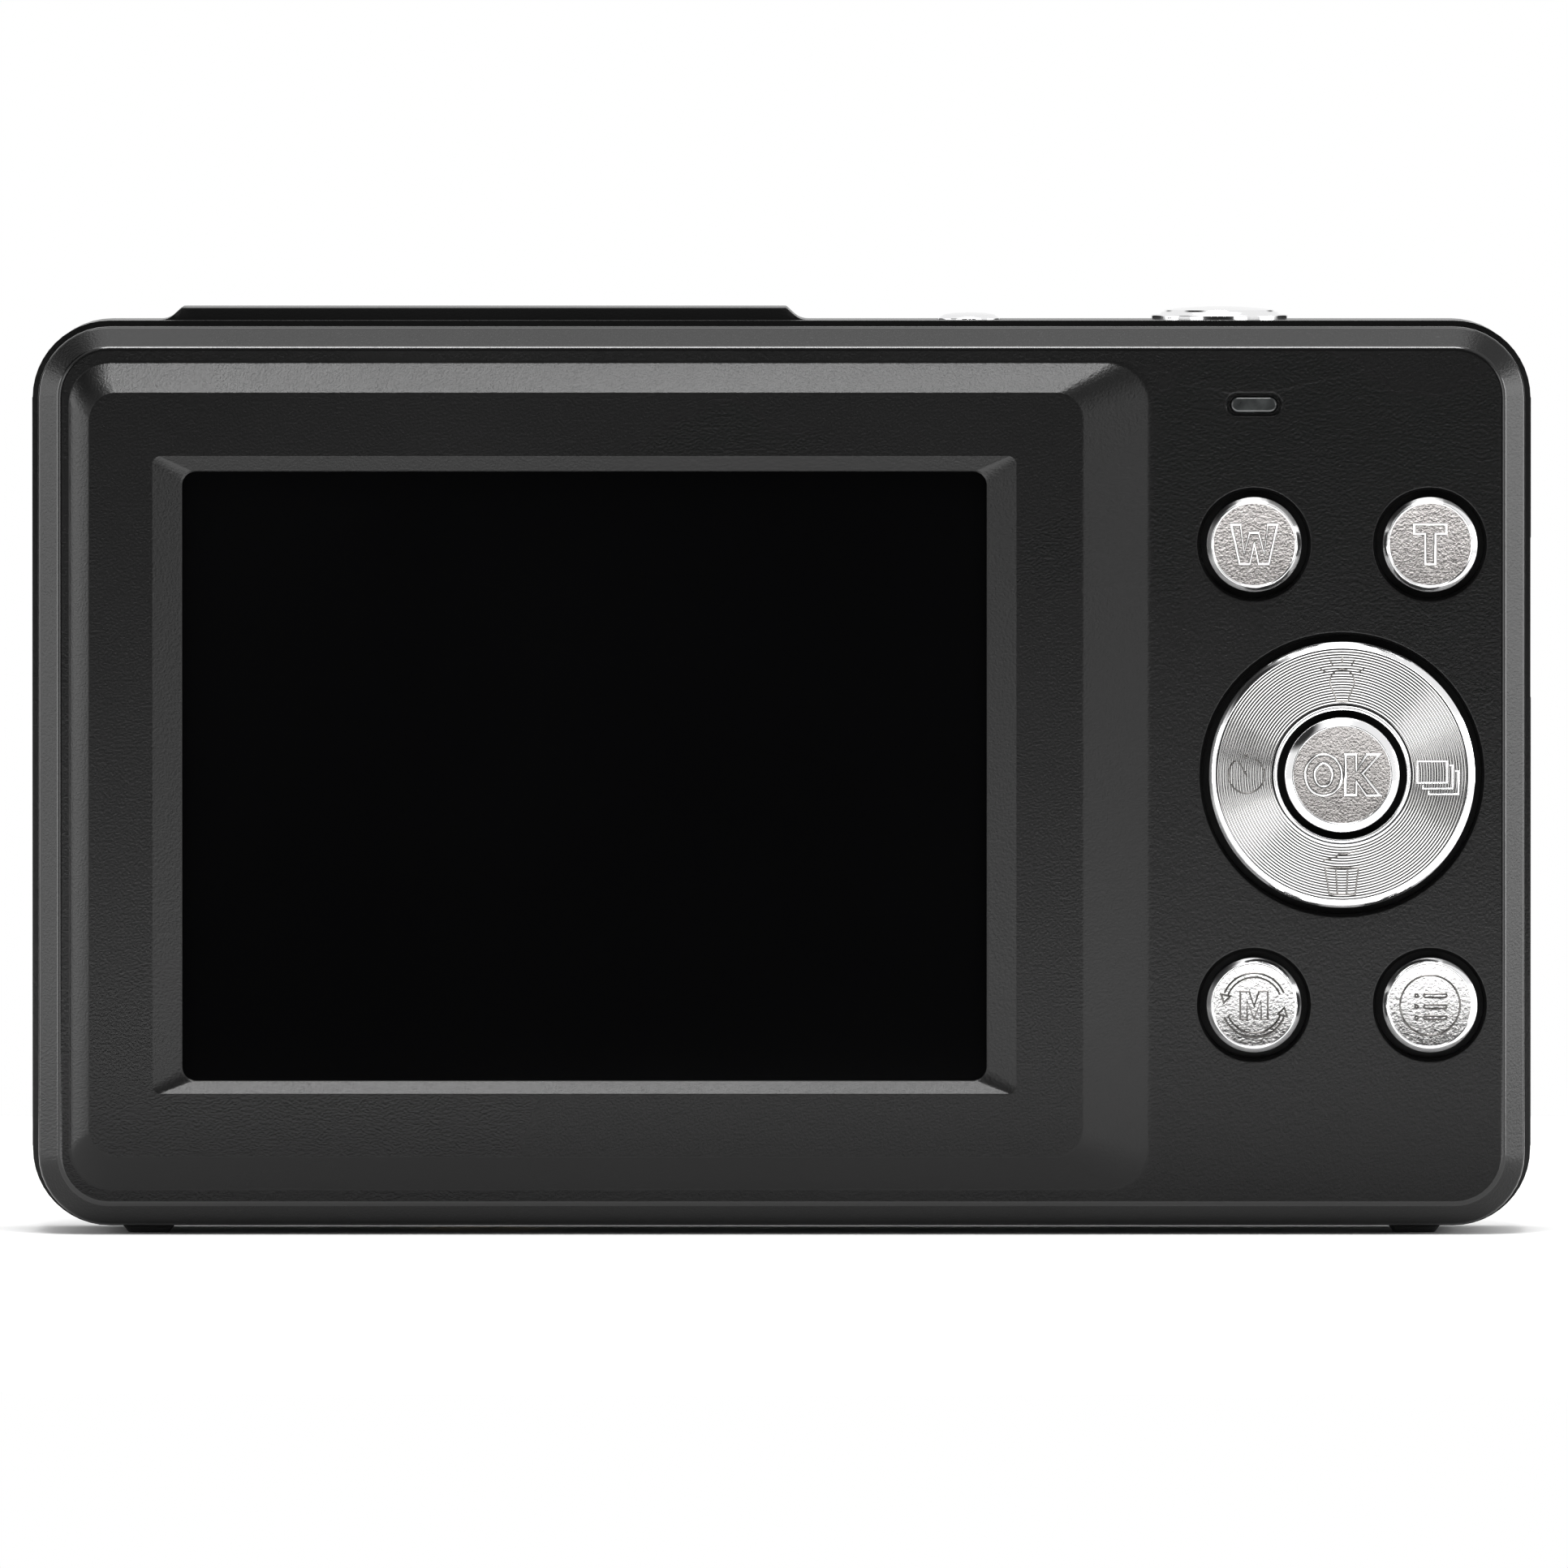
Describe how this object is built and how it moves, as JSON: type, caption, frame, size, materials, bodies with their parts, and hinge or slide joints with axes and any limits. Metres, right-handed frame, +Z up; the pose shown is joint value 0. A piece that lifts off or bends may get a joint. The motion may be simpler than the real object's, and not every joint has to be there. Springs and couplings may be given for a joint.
{
  "type": "compact digital camera",
  "caption": "Compact digital camera with a fixed-focus lens, rear screen, four-way pad, round keys and a swinging battery door.",
  "frame": {"origin": "on the floor under the feet, in the middle of the overall width and depth", "axes": "+Z up; the screen faces -Y and the lens faces +Y; +X is to the right when the screen is looked at"},
  "size_m": [0.0926, 0.024, 0.0571],
  "materials": {
    "charcoal_plastic": "fine spark-eroded charcoal moulding",
    "black_plastic": "fine matte black moulding",
    "gloss_black": "satin to gloss black moulding",
    "screen_black": "clear acrylic over a black screen, gloss",
    "foam": "closed-cell foam",
    "white_plastic": "milky",
    "steel": "plain sheet or wire",
    "ribbon": "amber polyimide",
    "circuit_board": "green solder mask",
    "chip_black": "moulded epoxy",
    "satin_silver": "satin grained and turned bright silver",
    "chrome_plate": "polished plate",
    "clear_plastic": "clear polycarbonate",
    "lens_ring_alloy": "turned and polished",
    "lens_glass": "coated glass",
    "lens_black": "matte black, baffled",
    "battery_can": "can in printed film",
    "contact_gold": "gold-plated leaf",
    "card_plastic": "moulded",
    "brass_bush": "turned",
    "foot_rubber": "matte"
  },
  "bodies": {
    "root": {"rear_shell": "charcoal_plastic", "front_shell": "black_plastic", "left_side_trim": "black_plastic", "right_side_trim": "black_plastic", "lens_panel": "gloss_black", "screen_window": "screen_black", "screen_gasket": "foam", "lcd_panel": "screen_black", "lcd_backlight": "white_plastic", "lcd_tray": "steel", "lcd_ribbon": "ribbon", "chassis": "black_plastic", "main_board": "circuit_board", "board_chips": "chip_black", "key_switches": "steel", "status_light_pipe": "clear_plastic", "shutter_ring": "chrome_plate", "shutter_spring": "steel", "top_board": "circuit_board", "top_switches": "steel", "lens_ring": "lens_ring_alloy", "lens_window": "lens_glass", "lens_hood": "lens_black", "lens_barrel": "lens_black", "front_lens": "lens_glass", "rear_lens": "lens_glass", "infrared_filter": "lens_glass", "image_sensor": "chip_black", "sensor_board": "circuit_board", "fill_light_window": "clear_plastic", "fill_light_led": "white_plastic", "fill_light_board": "circuit_board", "microphone": "steel", "speaker": "black_plastic", "battery_bay": "black_plastic", "battery": "battery_can", "battery_contacts": "contact_gold", "door_hinge_pin": "steel", "card_socket": "steel", "memory_card": "card_plastic", "usb_socket": "steel", "strap_pin": "steel", "tripod_bush": "brass_bush", "board_screws": "steel", "case_screws": "steel", "feet": "foot_rubber"},
    "wide_key_body": {"wide_key": "satin_silver"},
    "tele_key_body": {"tele_key": "satin_silver"},
    "mode_key_body": {"mode_key": "satin_silver"},
    "menu_key_body": {"menu_key": "satin_silver"},
    "ok_key_body": {"ok_key": "satin_silver"},
    "rocker_body": {"pad_rocker": "black_plastic"},
    "pad_body": {"four_way_pad": "satin_silver"},
    "power_body": {"power_button": "chrome_plate"},
    "shutter_body": {"shutter_button": "chrome_plate"},
    "door_body": {"battery_door": "black_plastic"},
    "latch_body": {"door_latch": "black_plastic"}
  },
  "joints": [
    {"name": "wide_key_press", "type": "slide", "parent": "root", "child": "wide_key_body", "axis": [0, 1, 0], "range_m": [0, 0.0003], "stiffness_N_per_m": 900},
    {"name": "tele_key_press", "type": "slide", "parent": "root", "child": "tele_key_body", "axis": [0, 1, 0], "range_m": [0, 0.0003], "stiffness_N_per_m": 900},
    {"name": "mode_key_press", "type": "slide", "parent": "root", "child": "mode_key_body", "axis": [0, 1, 0], "range_m": [0, 0.0003], "stiffness_N_per_m": 900},
    {"name": "menu_key_press", "type": "slide", "parent": "root", "child": "menu_key_body", "axis": [0, 1, 0], "range_m": [0, 0.0003], "stiffness_N_per_m": 900},
    {"name": "ok_key_press", "type": "slide", "parent": "root", "child": "ok_key_body", "axis": [0, 1, 0], "range_m": [0, 0.0003], "stiffness_N_per_m": 900},
    {"name": "pad_up_down", "type": "hinge", "parent": "root", "child": "rocker_body", "pos_m": [0.03455, -0.00617, 0.0284], "axis": [1, 0, 0], "range_deg": [-1.6, 1.6], "stiffness_Nm_per_rad": 0.05},
    {"name": "pad_left_right", "type": "hinge", "parent": "rocker_body", "child": "pad_body", "pos_m": [0.03455, -0.00793, 0.0284], "axis": [0, 0, 1], "range_deg": [-1.6, 1.6], "stiffness_Nm_per_rad": 0.05},
    {"name": "power_press", "type": "slide", "parent": "root", "child": "power_body", "axis": [0, 0, -1], "range_m": [0, 0.00035], "stiffness_N_per_m": 900},
    {"name": "shutter_press", "type": "slide", "parent": "root", "child": "shutter_body", "axis": [0, 0, -1], "range_m": [0, 0.0007], "stiffness_N_per_m": 400, "deforming": ["shutter_spring"]},
    {"name": "battery_door_swing", "type": "hinge", "parent": "root", "child": "door_body", "pos_m": [0.03585, 0, 0.00135], "axis": [0, -1, 0], "range_deg": [0, 85]},
    {"name": "door_latch_slide", "type": "slide", "parent": "door_body", "child": "latch_body", "axis": [-1, 0, 0], "range_m": [0, 0.0012]}
  ]
}
